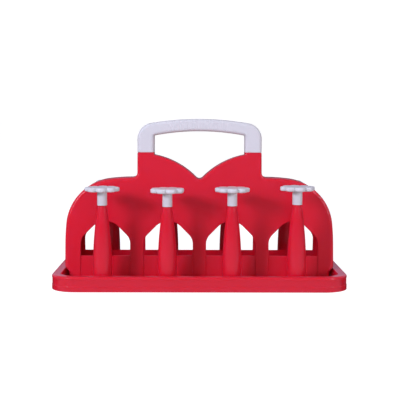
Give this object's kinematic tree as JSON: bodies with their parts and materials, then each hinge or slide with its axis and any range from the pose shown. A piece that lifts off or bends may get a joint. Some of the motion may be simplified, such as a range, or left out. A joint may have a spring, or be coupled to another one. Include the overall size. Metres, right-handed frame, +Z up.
{
  "type": "tumbler carrier",
  "caption": "Carrier for upside-down tumblers: a drip tray, a hollow arched centre panel with a ribbed U grip, and tapered posts topped by flower-shaped caps that turn.",
  "frame": {"origin": "centre of the tray's footprint, on the surface it stands on", "axes": "+X along the panel and the tray's length, +Y from the front row of posts to the back row, +Z up; the front faces -Y"},
  "size_m": [0.384, 0.195, 0.2194],
  "materials": {
    "red_plastic": "glossy injection-moulded polypropylene, cherry red",
    "white_plastic": "satin injection-moulded polypropylene, cool white",
    "zinc_steel": "zinc-plated steel"
  },
  "bodies": {
    "stand": {"base_tray": "red_plastic", "panel_front": "red_plastic", "panel_back": "red_plastic", "handle_grip": "white_plastic", "post_front_1": "red_plastic", "post_front_2": "red_plastic", "post_front_3": "red_plastic", "post_front_4": "red_plastic", "post_back_1": "red_plastic", "post_back_2": "red_plastic", "post_back_3": "red_plastic", "post_back_4": "red_plastic", "base_screws": "zinc_steel", "panel_screws": "zinc_steel"},
    "cap_front_1": {"flower_cap_front_1": "white_plastic"},
    "cap_front_2": {"flower_cap_front_2": "white_plastic"},
    "cap_front_3": {"flower_cap_front_3": "white_plastic"},
    "cap_front_4": {"flower_cap_front_4": "white_plastic"},
    "cap_back_1": {"flower_cap_back_1": "white_plastic"},
    "cap_back_2": {"flower_cap_back_2": "white_plastic"},
    "cap_back_3": {"flower_cap_back_3": "white_plastic"},
    "cap_back_4": {"flower_cap_back_4": "white_plastic"}
  },
  "joints": [
    {"name": "cap_front_1_spin", "type": "hinge", "parent": "stand", "child": "cap_front_1", "pos_m": [-0.126, -0.068, 0.115], "axis": [0, 0, 1], "continuous": true},
    {"name": "cap_front_2_spin", "type": "hinge", "parent": "stand", "child": "cap_front_2", "pos_m": [-0.042, -0.068, 0.115], "axis": [0, 0, 1], "continuous": true},
    {"name": "cap_front_3_spin", "type": "hinge", "parent": "stand", "child": "cap_front_3", "pos_m": [0.042, -0.068, 0.115], "axis": [0, 0, 1], "continuous": true},
    {"name": "cap_front_4_spin", "type": "hinge", "parent": "stand", "child": "cap_front_4", "pos_m": [0.126, -0.068, 0.115], "axis": [0, 0, 1], "continuous": true},
    {"name": "cap_back_1_spin", "type": "hinge", "parent": "stand", "child": "cap_back_1", "pos_m": [-0.126, 0.068, 0.115], "axis": [0, 0, 1], "continuous": true},
    {"name": "cap_back_2_spin", "type": "hinge", "parent": "stand", "child": "cap_back_2", "pos_m": [-0.042, 0.068, 0.115], "axis": [0, 0, 1], "continuous": true},
    {"name": "cap_back_3_spin", "type": "hinge", "parent": "stand", "child": "cap_back_3", "pos_m": [0.042, 0.068, 0.115], "axis": [0, 0, 1], "continuous": true},
    {"name": "cap_back_4_spin", "type": "hinge", "parent": "stand", "child": "cap_back_4", "pos_m": [0.126, 0.068, 0.115], "axis": [0, 0, 1], "continuous": true}
  ]
}
